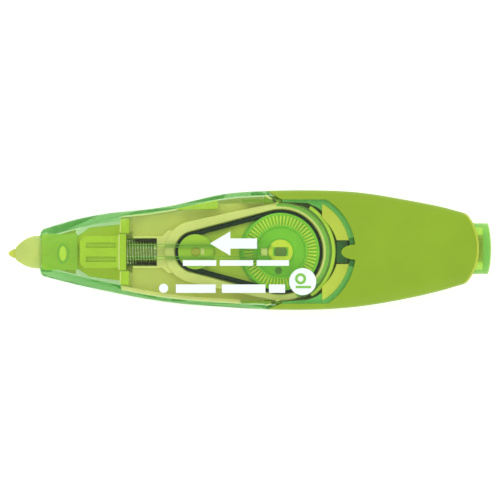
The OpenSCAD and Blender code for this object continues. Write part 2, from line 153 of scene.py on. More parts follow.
def joined(*parts):
    """Several shapes as one list of points and one list of faces."""
    verts, faces = [], []
    for part_verts, part_faces in parts:
        shift = len(verts)
        verts += list(part_verts)
        faces += [tuple(i + shift for i in face) for face in part_faces]
    return verts, faces


def scratch(shape, name="scratch"):
    """A passing object that only modifiers work on."""
    mesh = bpy.data.meshes.new(name)
    mesh.from_pydata([tuple(v) for v in shape[0]], [], shape[1])
    obj = bpy.data.objects.new(name, mesh)
    bpy.context.scene.collection.objects.link(obj)
    made = bmesh.new()
    made.from_mesh(mesh)
    bmesh.ops.recalc_face_normals(made, faces=made.faces)
    made.to_mesh(mesh)
    made.free()
    return obj


def applied(obj):
    """The mesh of obj with its modifiers applied; obj itself goes."""
    bpy.context.view_layer.update()
    graph = bpy.context.evaluated_depsgraph_get()
    mesh = bpy.data.meshes.new_from_object(obj.evaluated_get(graph))
    bpy.data.objects.remove(obj)
    return mesh


def cut(shape, *steps, bevel=0.0, segments=2):
    """Boolean steps on a shape, each ("DIFFERENCE" | "INTERSECT" | "UNION", shape), then a bevel."""
    obj = scratch(shape)
    helpers = []
    for operation, other in steps:
        helper = scratch(other, "helper")
        helpers.append(helper)
        modifier = obj.modifiers.new("cut", "BOOLEAN")
        modifier.operation = operation
        modifier.object = helper
        modifier.solver = "EXACT"
    if bevel:
        soften = obj.modifiers.new("soften", "BEVEL")
        soften.width = bevel
        soften.segments = segments
        soften.limit_method = "ANGLE"
        soften.angle_limit = math.radians(50)
        soften.use_clamp_overlap = True
    mesh = applied(obj)
    for helper in helpers:
        bpy.data.objects.remove(helper)
    return mesh


def lathe(centre, profile, axis="Z", steps=96):
    """A closed ring or disc turned about an axis, from (radius, height) points."""
    rings = []
    for i in range(steps):
        a = math.tau * i / steps
        ring = []
        for r, h in profile:
            if axis == "Z":
                ring.append((centre.x + r * math.cos(a), centre.y + r * math.sin(a), h))
            else:
                ring.append((h, centre.y + r * math.cos(a), centre.z + r * math.sin(a)))
        rings.append(ring)
    return rings_to_mesh(rings, closed=True)


def sweep(path, radius, sides=14, closed=False):
    """A round tube along points, with its ring kept level with Z."""
    points = [Vector(p) for p in path]
    rings, count = [], len(points)
    for i, p in enumerate(points):
        ahead = points[(i + 1) % count] if closed or i < count - 1 else p
        behind = points[i - 1] if closed or i > 0 else p
        along = (ahead - behind).normalized()
        side = along.cross(Vector((0, 0, 1)))
        side = side.normalized() if side.length > 1e-6 else Vector((0, 1, 0))
        up = side.cross(along).normalized()
        rings.append([p + radius * (math.cos(math.tau * k / sides) * side
                                    + math.sin(math.tau * k / sides) * up) for k in range(sides)])
    return rings_to_mesh(rings, closed)


def block(low, high):
    """A box between two corners."""
    outline = [(low[0], low[1]), (high[0], low[1]), (high[0], high[1]), (low[0], high[1])]
    return prism(outline, low[2], high[2])


# ---------------------------------------------------------------- materials

def new_material(name):
    """A material with its node list, its links and its main shader."""
    material = bpy.data.materials.new(name)
    material.use_nodes = True
    nodes, links = material.node_tree.nodes, material.node_tree.links
    return material, nodes, links, nodes["Principled BSDF"]


def noise(nodes, links, scale, detail=4.0, rough=0.55):
    """A noise texture fixed to the object, with scale in waves per metre."""
    place = nodes.new("ShaderNodeTexCoord")
    texture = nodes.new("ShaderNodeTexNoise")
    texture.inputs["Scale"].default_value = scale
    texture.inputs["Detail"].default_value = detail
    texture.inputs["Roughness"].default_value = rough
    links.new(place.outputs["Object"], texture.inputs["Vector"])
    return texture


def ramp(nodes, links, source, stops):
    """A colour ramp with two stops, each (position, colour)."""
    node = nodes.new("ShaderNodeValToRGB")
    elements = node.color_ramp.elements
    for element, (at, colour) in zip(elements, stops):
        element.position = at
        element.color = (*colour, 1)
    links.new(source, node.inputs["Fac"])
    return node


def scaled(colour, k):
    """A colour made lighter or darker."""
    return tuple(min(1.0, c * k) for c in colour)


def relief(nodes, links, shader, source, strength, distance):
    """Raises the surface by a texture, on a shader's normal."""
    bump = nodes.new("ShaderNodeBump")
    bump.inputs["Strength"].default_value = strength
    bump.inputs["Distance"].default_value = distance
    links.new(source, bump.inputs["Height"])
    links.new(bump.outputs["Normal"], shader.inputs["Normal"])


def moulded(name, colour, rough=0.3, vary=0.06, grain=2500.0, depth=0.006 * MM,
            glow=0.0, coat=0.0, spec=0.5):
    """Moulded plastic: slow colour drift, patchy gloss and fine surface texture."""
    material, nodes, links, shader = new_material(name)
    drift = noise(nodes, links, 90.0)
    tint = ramp(nodes, links, drift.outputs["Fac"],
                [(0.3, scaled(colour, 1 - vary)), (0.7, scaled(colour, 1 + vary))])
    links.new(tint.outputs["Color"], shader.inputs["Base Color"])
    patches = noise(nodes, links, 260.0)
    gloss = nodes.new("ShaderNodeMapRange")
    gloss.inputs["To Min"].default_value = rough * 0.8
    gloss.inputs["To Max"].default_value = rough * 1.25
    links.new(patches.outputs["Fac"], gloss.inputs["Value"])
    links.new(gloss.outputs["Result"], shader.inputs["Roughness"])
    fine = noise(nodes, links, grain, 3.0)
    relief(nodes, links, shader, fine.outputs["Fac"], 0.5, depth)
    shader.inputs["Specular IOR Level"].default_value = spec
    shader.inputs["Coat Weight"].default_value = coat
    shader.inputs["Coat Roughness"].default_value = 0.08
    if glow:
        shader.inputs["Subsurface Weight"].default_value = glow
        shader.inputs["Subsurface Radius"].default_value = (1.0, 1.0, 0.4)
        shader.inputs["Subsurface Scale"].default_value = 1.2 * MM
    return material


# Clear plastic: refraction index of its skin, and the most that the skin may reflect
SKIN_INDEX = 1.3
SKIN_MOST = 0.22


def clear(name, tint, deep, density, rough=0.04):
    """Clear tinted plastic: polished skin, a light tint face on and a deep one through thick walls."""
    material, nodes, links, shader = new_material(name)
    nodes.remove(shader)
    output = nodes["Material Output"]
    waves = noise(nodes, links, 55.0)
    streaks = ramp(nodes, links, waves.outputs["Fac"], [(0.3, scaled(tint, 0.97)), (0.7, tint)])
    through = nodes.new("ShaderNodeBsdfTransparent")
    links.new(streaks.outputs["Color"], through.inputs["Color"])
    gloss = nodes.new("ShaderNodeBsdfGlossy")
    patches = nodes.new("ShaderNodeMapRange")
    patches.inputs["To Min"].default_value = rough * 0.6
    patches.inputs["To Max"].default_value = rough * 1.6
    links.new(waves.outputs["Fac"], patches.inputs["Value"])
    links.new(patches.outputs["Result"], gloss.inputs["Roughness"])
    skin = nodes.new("ShaderNodeFresnel")
    skin.inputs["IOR"].default_value = SKIN_INDEX
    relief(nodes, links, gloss, waves.outputs["Fac"], 0.15, 0.02 * MM)
    limit = nodes.new("ShaderNodeMath")
    limit.operation = "MINIMUM"
    limit.inputs[1].default_value = SKIN_MOST
    links.new(skin.outputs["Fac"], limit.inputs[0])
    mix = nodes.new("ShaderNodeMixShader")
    links.new(limit.outputs["Value"], mix.inputs["Fac"])
    links.new(through.outputs["BSDF"], mix.inputs[1])
    links.new(gloss.outputs["BSDF"], mix.inputs[2])
    links.new(mix.outputs["Shader"], output.inputs["Surface"])
    soak = nodes.new("ShaderNodeVolumeAbsorption")
    soak.inputs["Color"].default_value = (*deep, 1)
    soak.inputs["Density"].default_value = density
    links.new(soak.outputs["Volume"], output.inputs["Volume"])
    return material


def steel(name):
    """Drawn wire: metal with fine streaks in tone and relief."""
    material, nodes, links, shader = new_material(name)
    shader.inputs["Metallic"].default_value = 1.0
    streaks = noise(nodes, links, 1800.0)
    tone = ramp(nodes, links, streaks.outputs["Fac"],
                [(0.35, (0.5, 0.54, 0.34)), (0.65, (0.82, 0.85, 0.6))])
    links.new(tone.outputs["Color"], shader.inputs["Base Color"])
    shader.inputs["Roughness"].default_value = 0.28
    relief(nodes, links, shader, streaks.outputs["Fac"], 0.4, 0.004 * MM)
    return material


def rubber(name, colour):
    """Matt rubber with a speckled surface."""
    material, nodes, links, shader = new_material(name)
    speckle = noise(nodes, links, 1400.0, 6.0)
    tone = ramp(nodes, links, speckle.outputs["Fac"],
                [(0.3, scaled(colour, 0.75)), (0.75, scaled(colour, 1.5))])
    links.new(tone.outputs["Color"], shader.inputs["Base Color"])
    shader.inputs["Roughness"].default_value = 0.75
    shader.inputs["Specular IOR Level"].default_value = 0.2
    relief(nodes, links, shader, speckle.outputs["Fac"], 0.6, 0.012 * MM)
    return material


def wound_tape(name, colour, dark):
    """Tape: fine lines across its width, in a light and a darker tone."""
    material, nodes, links, shader = new_material(name)
    place = nodes.new("ShaderNodeTexCoord")
    bands = nodes.new("ShaderNodeTexWave")
    bands.wave_type = "BANDS"
    bands.bands_direction = "Z"
    bands.inputs["Scale"].default_value = 900.0
    bands.inputs["Distortion"].default_value = 1.5
    links.new(place.outputs["Object"], bands.inputs["Vector"])
    tone = ramp(nodes, links, bands.outputs["Fac"], [(0.0, dark), (0.4, colour)])
    links.new(tone.outputs["Color"], shader.inputs["Base Color"])
    shader.inputs["Roughness"].default_value = 0.6
    relief(nodes, links, shader, bands.outputs["Fac"], 0.3, 0.01 * MM)
    return material


LOOKS = {
    "clear": clear("clear_green_plastic", (0.995, 1.0, 0.96), (0.20, 0.70, 0.10), 165.0),
    "button": clear("clear_button_plastic", (0.9, 0.97, 0.62), (0.2, 0.66, 0.16), 160.0, 0.08),
    "lime": moulded("opaque_lime_plastic", (0.235, 0.385, 0.017), 0.42, 0.04, 3500.0, 0.01 * MM,
                    spec=0.25),
    "rim": moulded("rear_rim_plastic", (0.42, 0.53, 0.03), 0.3, 0.05),
    "bridge": moulded("bright_lime_plastic", (0.55, 0.72, 0.028), 0.26, 0.06, glow=0.15),
    # Darker than the bridge: painted shade for the floors of the bridge's grooves
    "groove": moulded("shaded_lime_plastic", (0.46, 0.62, 0.03), 0.3, 0.06),
    "chamber": moulded("chamber_lime_plastic", (0.78, 0.84, 0.07), 0.3, 0.08),
    "flange": moulded("flange_green_plastic", (0.26, 0.58, 0.07), 0.26, 0.07),
    "sleeve": moulded("nozzle_sleeve_plastic", (0.36, 0.60, 0.04), 0.28, 0.07, glow=0.1),
    "edge": moulded("pale_edge_plastic", (0.97, 0.92, 0.36), 0.3, 0.05),
    "shelf": moulded("cream_shelf_plastic", (1.0, 0.77, 0.38), 0.3, 0.05, glow=0.9),
    "cam": moulded("natural_acetal", (0.62, 0.64, 0.5), 0.35),
    "block": moulded("dark_green_plastic", (0.05, 0.27, 0.035), 0.3, 0.1),
    "cream": moulded("cartridge_plastic", (0.72, 0.72, 0.2), 0.32, 0.05),
    "deck": moulded("deck_plastic", (0.68, 0.67, 0.18), 0.34, 0.07, 1800.0, 0.014 * MM),
    "band": moulded("belt_guard_plastic", (0.95, 0.85, 0.34), 0.26, 0.05, glow=0.1),
    "liner": moulded("window_liner_plastic", (0.8, 0.78, 0.09), 0.35, 0.08),
    "well": moulded("belt_well_plastic", (0.78, 0.88, 0.08), 0.3, 0.08),
    "neck": moulded("neck_plastic", (0.62, 0.75, 0.08), 0.25, 0.06),
    "tip": moulded("tip_plastic", (0.52, 0.60, 0.06), 0.22, 0.12, glow=0.2, coat=0.3),
    "nose": moulded("frosted_nose_plastic", (0.45, 0.56, 0.115), 0.5, 0.08, 6000.0, 0.012 * MM,
                    glow=0.3),
    "axle": moulded("axle_plastic", (0.16, 0.26, 0.05), 0.3),
    "spool": moulded("spool_plastic", (0.82, 0.83, 0.76), 0.35),
    "pulley": moulded("pulley_plastic", (0.28, 0.70, 0.036), 0.3, 0.08, glow=0.1),
    # Pale tone that paints the light patches inside the clear nozzle, as a painted highlight on its floor
    "pale": moulded("nozzle_floor_highlight_plastic", (0.85, 0.83, 0.22), 0.3, 0.08),
    "ledge": moulded("window_ledge_plastic", (0.18, 0.57, 0.115), 0.32, 0.06),
    # Bright colour that paints a highlight band on the end wall's crescent; the nozzle boss's dome shares
    # it
    "crescent": moulded("end_wall_highlight_plastic", (0.68, 0.87, 0.075), 0.28, 0.06),
    "pin": moulded("take_up_pin_plastic", (0.6, 0.55, 0.06), 0.3, 0.06),
    # A dark colour for painted shade, used on the end wall's olive strip and in the pulley's dimple
    "slot": moulded("pulley_slot_shade", (0.13, 0.30, 0.04), 0.4, 0.1),
    "hub": moulded("hub_plastic", (0.84, 0.87, 0.062), 0.28, 0.08),
    "takeup": moulded("takeup_pulley_plastic", (0.55, 0.75, 0.05), 0.28, 0.08),
    "print": moulded("white_print", (0.80, 0.86, 0.87), 0.4, 0.02, 5000.0, 0.004 * MM),
    "print_green": moulded("green_print", (0.2, 0.5, 0.06), 0.4, 0.03, 5000.0, 0.004 * MM),
    "steel": steel("spring_wire"),
    "belt": rubber("belt_rubber", (0.010, 0.030, 0.018)),
    "clutch": rubber("clutch_rubber", (0.09, 0.1, 0.09)),
    "tape": wound_tape("white_tape", (0.9, 0.9, 0.88), (0.6, 0.62, 0.6)),
    "used": wound_tape("used_tape", (0.78, 0.74, 0.58), (0.5, 0.47, 0.36)),
}

# The look of each CAD node, whether it is seen itself or stood for by a finer piece
NODE_LOOKS = {
    "clear_shell_upper": "clear",
    "clear_shell_lower": "clear",
    "guide_bridge": "bridge",
    "window_liner": "liner",
    "return_spring": "steel",
    "rear_cover_upper": "lime",
    "rear_cover_lower": "lime",
    "rear_end_ring": "rim",
    "cam_sleeve": "cam",
    "knock_button": "button",
    "cam_plunger": "cam",
    "pusher_block": "block",
    "rotor_cam": "cam",
    "cartridge_base": "cream",
    "cartridge_deck": "deck",
    "spring_seat": "cream",
    "tape_neck": "neck",
    "nose_cone": "nose",
    "applicator_tip": "tip",
    "guide_posts": "cream",
    "reverse_stop_pawl": "cream",
    "drive_belt": "belt",
    "tape_run_out": "tape",
    "tape_run_return": "used",
    "supply_axle": "axle",
    "supply_spool": "spool",
    "supply_tape_roll": "tape",
    "clutch_ring": "clutch",
    "supply_pulley": "pulley",
    "takeup_axle": "pin",
    "takeup_spool": "spool",
    "takeup_tape_roll": "used",
    "takeup_pulley": "takeup",
}
for node_name, look in NODE_LOOKS.items():
    slots = NODES[node_name].material_slots
    for material_slot in slots:
        material_slot.material = LOOKS[look]
    if not slots:
        NODES[node_name].data.materials.append(LOOKS[look])


# ---------------------------------------------------------------- casing: fine lofted shells

SHELL_NODES = ("clear_shell_upper", "clear_shell_lower", "rear_cover_upper", "rear_cover_lower")
CORNER_Y = 3.4 * MM
CORNER_Z = 2.6 * MM
CORNER_STEPS = 8
LOFT_STEPS = 110
# The outline is probed from far outside, off the seam and off the middle line, and ends where
# the rear end's plan starts to turn
OUTLINE_STEPS = 24
OUTLINE_X1 = BODY_X1 - 5 * MM
FAR = 0.1
OFF_SEAM = 0.4 * MM
OFF_MIDDLE = 3 * MM


def shell_tree():
    """Search tree over the four CAD shells."""
    verts, faces = [], []
    for name in SHELL_NODES:
        mesh = NODES[name].data
        shift = len(verts)
        verts += [v.co.copy() for v in mesh.vertices]
        faces += [[i + shift for i in p.vertices] for p in mesh.polygons]
    return BVHTree.FromPolygons(verts, faces)


def outline_table():
    """(x, upper edge, lower edge, half thickness) of the CAD casing at even steps along X."""
    tree = shell_tree()
    rows = []
    for i in range(OUTLINE_STEPS + 1):
        x = BODY_X0 + (OUTLINE_X1 - BODY_X0) * i / OUTLINE_STEPS
        at = max(x, BODY_X0 + 0.01 * MM)
        level = MID_Z + OFF_SEAM
        top = tree.ray_cast(Vector((at, FAR, level)), Vector((0, -1, 0)))[0].y
        bottom = tree.ray_cast(Vector((at, -FAR, level)), Vector((0, 1, 0)))[0].y
        beside = (top + bottom) / 2 + OFF_MIDDLE
        half = tree.ray_cast(Vector((at, beside, FAR)), Vector((0, 0, -1)))[0].z - MID_Z
        rows.append((x, top, bottom, half))
    return np.array(rows)


OUTLINE = outline_table()


# Columns of the outline table
UPPER, LOWER, HALF_HEIGHT = 1, 2, 3


def casing(x, column):
    """Smooth curve through the casing's measured stations, straight on past the last one."""
    xs, ys = OUTLINE[:, 0], OUTLINE[:, column]
    if x > xs[-1]:
        return ys[-1] + (x - xs[-1]) * (ys[-1] - ys[-2]) / (xs[-1] - xs[-2])
    i = int(np.clip(np.searchsorted(xs, x) - 1, 0, len(xs) - 2))
    width = xs[i + 1] - xs[i]
    t = (x - xs[i]) / width
    before, after = max(i - 1, 0), min(i + 2, len(xs) - 1)
    slope_a = (ys[i + 1] - ys[before]) / (xs[i + 1] - xs[before])
    slope_b = (ys[after] - ys[i]) / (xs[after] - xs[i])
    return (ys[i] * (1 + 2 * t) * (1 - t) ** 2 + ys[i + 1] * t * t * (3 - 2 * t)
            + width * t * (1 - t) * (slope_a * (1 - t) - slope_b * t))


def section(x, inset_y, inset_z):
    """Rounded cross-section of the casing at x."""
    top, bottom = casing(x, UPPER) - inset_y, casing(x, LOWER) + inset_y
    half = casing(x, HALF_HEIGHT) - inset_z
    cy, cz = CORNER_Y - inset_z / 2, CORNER_Z - inset_z / 2
    ring = []
    for quarter in range(4):
        y0 = top - cy if quarter in (0, 3) else bottom + cy
        z0 = half - cz if quarter < 2 else cz - half
        for step in range(CORNER_STEPS + 1):
            a = math.radians(90 * (quarter + step / CORNER_STEPS))
            ring.append((x, y0 + cy * math.cos(a), MID_Z + z0 + cz * math.sin(a)))
    return ring


# The side walls are thicker in the nozzle, up to the step where the cartridge bay starts
BAY_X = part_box("guide_bridge")[1].x - 1.8 * MM
NOZZLE_WALL = 2.5 * MM
STEP_X = 0.4 * MM


def side_inset(x):
    """Thickness of the side walls at x."""
    share = min(max((BAY_X - x) / STEP_X + 1, 0), 1)
    return WALL + (NOZZLE_WALL - WALL) * share


def casing_tube(x0, x1, with_nozzle):
    """The casing's walls as one tube, with or without the nozzle's thicker sides."""
    xs = [x0 + (x1 - x0) * i / LOFT_STEPS for i in range(LOFT_STEPS + 1)]
    xs = sorted(xs + ([BAY_X, BAY_X + STEP_X] if with_nozzle else []))
    outer = [section(x, PROUD, PROUD) for x in xs]
    inner = [section(x, side_inset(x) if with_nozzle else WALL, WALL) for x in reversed(xs)]
    return rings_to_mesh(outer + inner, closed=True)


# Plan outline of the front casing: slanted rims, a window with a round end and a notch for the tab
WINDOW_R = 17.4 * MM
WINDOW_C = Vector((WINDOW_X1 - WINDOW_R, FRONT_Y))
WINDOW_TOP = 14.25 * MM
WINDOW_BOTTOM = -15.1 * MM
RIM_X = 4.5 * MM
RIM_SLANT = 4.5 * MM
TAB_HALF = 2.3 * MM
TAB_X = WINDOW_X1 - 4.1 * MM
RIM_OUTER_Y = 17.1 * MM
ARC_STEPS = 24
NOTCH_STEPS = 20


def window_edge(gap):
    """The rim of the front casing from its upper to its lower side, seen in plan."""
    radius = WINDOW_R + gap
    top, bottom = WINDOW_TOP + gap, WINDOW_BOTTOM - gap
    a0 = math.asin((top - WINDOW_C.y) / radius)
    a1 = math.asin((bottom - WINDOW_C.y) / radius)
    tab = TAB_HALF - gap
    a_tab = math.asin(tab / radius)

    def arc(a):
        return WINDOW_C.x + radius * math.cos(a), WINDOW_C.y + radius * math.sin(a)

    upper = [arc(a0 + (a_tab - a0) * i / ARC_STEPS) for i in range(ARC_STEPS + 1)]
    lower = [arc(-a_tab + (a1 + a_tab) * i / ARC_STEPS) for i in range(ARC_STEPS + 1)]
    notch_x = arc(a_tab)[0]
    depth = notch_x - TAB_X - gap
    notch = [(notch_x - depth * math.sin(math.pi * i / NOTCH_STEPS),
              WINDOW_C.y + tab * math.cos(math.pi * i / NOTCH_STEPS)) for i in range(1, NOTCH_STEPS)]
    rim = RIM_X + gap
    start = [(rim, CLEAR_OF_CASING), (rim, RIM_OUTER_Y), (rim + RIM_SLANT, top)]
    end = [(rim + RIM_SLANT, bottom), (rim, -RIM_OUTER_Y), (rim, -CLEAR_OF_CASING)]
    return start + upper + notch + lower + end


MOUTH_BULGE = 0.45 * MM
MOUTH_ROUND = 0.4 * MM
MOUTH_STEPS = 32
# Share of the half width where the mouth's corners start to round off
MOUTH_CORNER = 0.86


def mouth_edge():
    """The nozzle's front edge in plan, from below to above: bulged, with rounded corners."""
    top, bottom = casing(BODY_X0, UPPER), casing(BODY_X0, LOWER)
    centre, half = (top + bottom) / 2, (top - bottom) / 2
    points = []
    for i in range(MOUTH_STEPS + 1):
        share = -1 + 2 * i / MOUTH_STEPS
        corner = max(0, abs(share) - MOUTH_CORNER) / (1 - MOUTH_CORNER)
        x = BODY_X0 + MOUTH_BULGE * share * share + MOUTH_ROUND * corner * corner
        points.append((x, centre + share * half))
    return points


def front_region():
    """Plan of the front casing, from its mouth to the window's rim."""
    mouth = mouth_edge()
    above = (mouth[-1][0], CLEAR_OF_CASING)
    below = (mouth[0][0], -CLEAR_OF_CASING)
    return [above] + window_edge(0) + [below] + mouth


# Round rear end, which stops 0.7 mm short of the end ring's outer face
END_R = 15.6 * MM
END_C = Vector((BODY_X1 - END_R - 0.7 * MM, 0.5 * MM))
END_STEPS = 64


def rear_region():
    """Plan of the rear housing, from the window's rim to its round end."""
    end = []
    for i in range(END_STEPS + 1):
        a = math.pi * (i / END_STEPS - 0.5)
        end.append((END_C.x + END_R * math.cos(a), END_C.y + END_R * math.sin(a)))
    return [(END_C.x, CLEAR_OF_CASING)] + window_edge(SEAM) + [(END_C.x, -CLEAR_OF_CASING)] + end


def half_range(upper):
    """Z range of one half of the casing, split at its seam."""
    return (MID_Z, MID_Z + 20 * MM) if upper else (MID_Z - 20 * MM, MID_Z)


def shape_of(mesh):
    """A mesh turned back into points and faces; the mesh itself goes."""
    shape = [v.co.copy() for v in mesh.vertices], [tuple(p.vertices) for p in mesh.polygons]
    bpy.data.meshes.remove(mesh)
    return shape


def front_shell(upper):
    """One half of the clear front casing."""
    name = "front_shell_upper" if upper else "front_shell_lower"
    node = "clear_shell_upper" if upper else "clear_shell_lower"
    z0, z1 = half_range(upper)
    mesh = cut(casing_tube(BODY_X0, BODY_X1, True),
               ("INTERSECT", prism(front_region(), z0, z1)), bevel=0.22 * MM)
    finish_piece(mesh, name, "casing", LOOKS["clear"], (node,), 35)


CRADLE_XS = (41 * MM, 46 * MM)
CRADLE_T = 1.2 * MM
CRADLE_GAP = 0.05 * MM
AXIS_R = 0.01 * MM


def cradle(x, upper):
    """Half of a plate across the rear housing that holds the clicker's sleeve."""
    inset = WALL - 0.1 * MM
    plate = rings_to_mesh([section(at, inset, inset) for at in (x, x + CRADLE_T)])
    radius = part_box("cam_sleeve")[1].z - MID_Z + CRADLE_GAP
    x0, x1 = x - MM, x + 3 * MM
    bore = lathe(Vector((0, REAR_Y, MID_Z)), [(AXIS_R, x0), (radius, x0), (radius, x1), (AXIS_R, x1)],
                 "X", 48)
    z0, z1 = half_range(upper)
    half_box = block((x0, -20 * MM, z0), (x1, 20 * MM, z1))
    return shape_of(cut(plate, ("INTERSECT", half_box), ("DIFFERENCE", bore)))


# Snap arms as (low Y, high Y, Y of the wall that each one stands on), in millimetres
SNAP_ARMS = ((13.6, 14.45, 15.8), (-15.25, -14.6, -15.85))
ARM_X = (-2.3, 9)
ARM_Z = (12, 14.9)
ARM_FOOT_X = (7.6, 9)
ARM_FOOT_Z = (9, 14)


def snap_arms():
    """Two arms that reach forward past the window, each with a foot on the housing's side wall."""
    arms = []
    for y0, y1, wall_y in SNAP_ARMS:
        arms.append(block((ARM_X[0] * MM, y0 * MM, ARM_Z[0] * MM), (ARM_X[1] * MM, y1 * MM, ARM_Z[1] * MM)))
        low, high = sorted((y0 if wall_y < 0 else y1, wall_y))
        arms.append(block((ARM_FOOT_X[0] * MM, low * MM, ARM_FOOT_Z[0] * MM),
                          (ARM_FOOT_X[1] * MM, high * MM, ARM_FOOT_Z[1] * MM)))
    return arms


def rear_cover(upper):
    """One half of the opaque rear housing, with its cradles and, on the upper half, its arms."""
    name = "rear_housing_upper" if upper else "rear_housing_lower"
    node = "rear_cover_upper" if upper else "rear_cover_lower"
    z0, z1 = half_range(upper)
    shell = shape_of(cut(casing_tube(BODY_X0, BODY_X1, False),
                         ("INTERSECT", prism(rear_region(), z0, z1)), bevel=0.28 * MM, segments=3))
    parts = [shell] + [cradle(x, upper) for x in CRADLE_XS] + (snap_arms() if upper else [])
    piece(name, *joined(*parts), "rear_housing", LOOKS["lime"], "opaque_lime", (node,), 35)


for is_upper in (True, False):
    front_shell(is_upper)
    rear_cover(is_upper)


# ---------------------------------------------------------------- spring and belt

WIRE_R = 0.25 * MM
WIRE_SIDES = 10
SPRING_TURNS = 13
SPRING_STEPS = 40
# Turns that lie dead at each end of the spring
DEAD_TURNS = 1.2


def return_spring():
    """A coil with closed end turns, between the flange and the seat."""
    low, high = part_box("return_spring")
    centre = middle("return_spring")
    radius = (high.z - low.z) / 2 - WIRE_R
    travel = high.x - low.x - 2 * WIRE_R
    dead = DEAD_TURNS / SPRING_TURNS
    steps = SPRING_TURNS * SPRING_STEPS
    rings = []
    for i in range(steps + 1):
        t = i / steps
        share = max(0, min(1, (t - dead) / (1 - 2 * dead)))
        a = math.tau * SPRING_TURNS * t
        out = Vector((0, math.cos(a), math.sin(a)))
        place = Vector((low.x + WIRE_R + share * travel, centre.y, MID_Z)) + radius * out
        rings.append([place + WIRE_R * (math.cos(math.tau * k / WIRE_SIDES) * out
                                        + math.sin(math.tau * k / WIRE_SIDES) * Vector((1, 0, 0)))
                      for k in range(WIRE_SIDES)])
    obj = piece("coil_spring", *rings_to_mesh(rings), None, LOOKS["steel"], "spring_steel")
    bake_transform(obj)
    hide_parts("return_spring")


def loop_path(r_big, r_small, z, big_steps=64, small_steps=28):
    """A loop around both pulleys at height z: two arcs, with straight runs between them."""
    lean = math.asin((r_big - r_small) / (SUPPLY.x - TAKEUP.x))
    wrap = math.pi / 2 + lean

    def turn(centre, radius, a):
        return centre.x + radius * math.cos(a), centre.y + radius * math.sin(a), z

    big = [turn(SUPPLY, r_big, -wrap + 2 * wrap * i / big_steps) for i in range(big_steps + 1)]
    small = [turn(TAKEUP, r_small, wrap + (math.tau - 2 * wrap) * i / small_steps)
             for i in range(small_steps + 1)]
    return big + small


BELT_R = 0.7 * MM


def drive_belt():
    """A round belt on the middle line of the CAD belt."""
    low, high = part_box("drive_belt")
    path = loop_path(high.x - SUPPLY.x - BELT_R, TAKEUP.x - low.x - BELT_R, middle("drive_belt").z)
    verts, faces = sweep(path, BELT_R, 16, closed=True)
    piece("round_drive_belt", verts, faces, "cartridge", LOOKS["belt"], "belt_rubber", ("drive_belt",))


return_spring()
drive_belt()


# ---------------------------------------------------------------- building small moulded pieces

def solid(name, outline, span, body, look, bevel=0.1, holes=()):
    """A prism with softened edges, from a plan outline and its low and high Z, in millimetres."""
    z0, z1 = span
    shape = prism([(x * MM, y * MM) for x, y in outline], z0 * MM, z1 * MM)
    steps = [("DIFFERENCE", prism([(x * MM, y * MM) for x, y in hole], (z0 - 1) * MM, (z1 + 1) * MM))
             for hole in holes]
    mesh = cut(shape, *steps, bevel=bevel * MM)
    finish_piece(mesh, name, body, LOOKS[look], smooth=35)


def rect(x0, y0, x1, y1):
    """Outline of a rectangle, in millimetres."""
    return [(x0, y0), (x1, y0), (x1, y1), (x0, y1)]


def disc(x, y, rx, ry=None, steps=48, a0=0.0, a1=360.0):
    """Outline of an ellipse, or of a sector's arc, in millimetres."""
    ry = rx if ry is None else ry
    whole = a1 - a0 >= 360
    angles = [math.radians(a0 + (a1 - a0) * i / steps) for i in range(steps if whole else steps + 1)]
    return [(x + rx * math.cos(a), y + ry * math.sin(a)) for a in angles]


def band(x, y, r_out, r_in, a0, a1, steps=48):
    """Outline of a curved strip about a centre."""
    return disc(x, y, r_out, None, steps, a0, a1) + disc(x, y, r_in, None, steps, a0, a1)[::-1]


FLOOR_T = 0.2 * MM
FLOOR_LIFT = 0.04 * MM
FLOOR_STEPS = 24


def floor_plate(name, x0, x1, margin, look, body="casing", slot="clear_green"):
    """A thin plate on the floor of the casing that follows its shape, in millimetres."""
    rings = []
    for i in range(FLOOR_STEPS + 1):
        x = (x0 + (x1 - x0) * i / FLOOR_STEPS) * MM
        low, high = casing(x, LOWER) + WALL + margin * MM, casing(x, UPPER) - WALL - margin * MM
        z0 = MID_Z - casing(x, HALF_HEIGHT) + WALL + FLOOR_LIFT
        z1 = z0 + FLOOR_T
        rings.append([(x, low, z0), (x, high, z0), (x, high, z1), (x, low, z1)])
    piece(name, *rings_to_mesh(rings), body, LOOKS[look], slot)


# ---------------------------------------------------------------- front casing, in millimetres

# Each rib is drawn as its two edges, RIB_W apart
RIB_YS = (0.75, -2.75)
RIB_X = (-34.5, 6.3)
RIB_Z = (14.2, 15.28)
RIB_W = 0.75
RIB_LINE = 0.2
# Shelves along the side walls, which are placed from a line just inside the wall's inner face
SHELF_INSET = 1.25
SHELF_X0 = -36.6
SHELF_PITCH = 3.1


def ribs():
    """Two long ribs under the window."""
    for i, y in enumerate(RIB_YS):
        for k, side in enumerate((0, RIB_W)):
            line = rect(RIB_X[0], y + side, RIB_X[1], y + side + RIB_LINE)
            solid("rib_%d_%d" % (i, k), line, RIB_Z, "casing", "flange", bevel=0.04)


def shelf(name, column, inward, stations, span, look, bevel):
    """A strip along a side wall, between two distances from the inset line."""
    toward = -1 if column == UPPER else 1
    xs = [SHELF_X0 + SHELF_PITCH * i for i in range(stations)]
    near, far = ([(x, casing(x * MM, column) / MM + toward * (SHELF_INSET + gap)) for x in xs]
                 for gap in inward)
    solid(name, near + far[::-1], span, "casing", look, bevel)


def shelves():
    """Ramp and shelves along the upper and lower side walls."""
    solid("top_ramp", [(-21, 11.75), (-9, 14.3), (-9, 11.7), (-20, 11.5)], (12.2, 14.6),
          "casing", "bridge", bevel=0.2)
    shelf("lower_shelf", LOWER, (0.05, 1.3), 12, (12.4, 13.9), "shelf", 0.2)
    shelf("upper_shelf", UPPER, (0, 0.4), 6, (11.4, 13.0), "edge", 0.1)


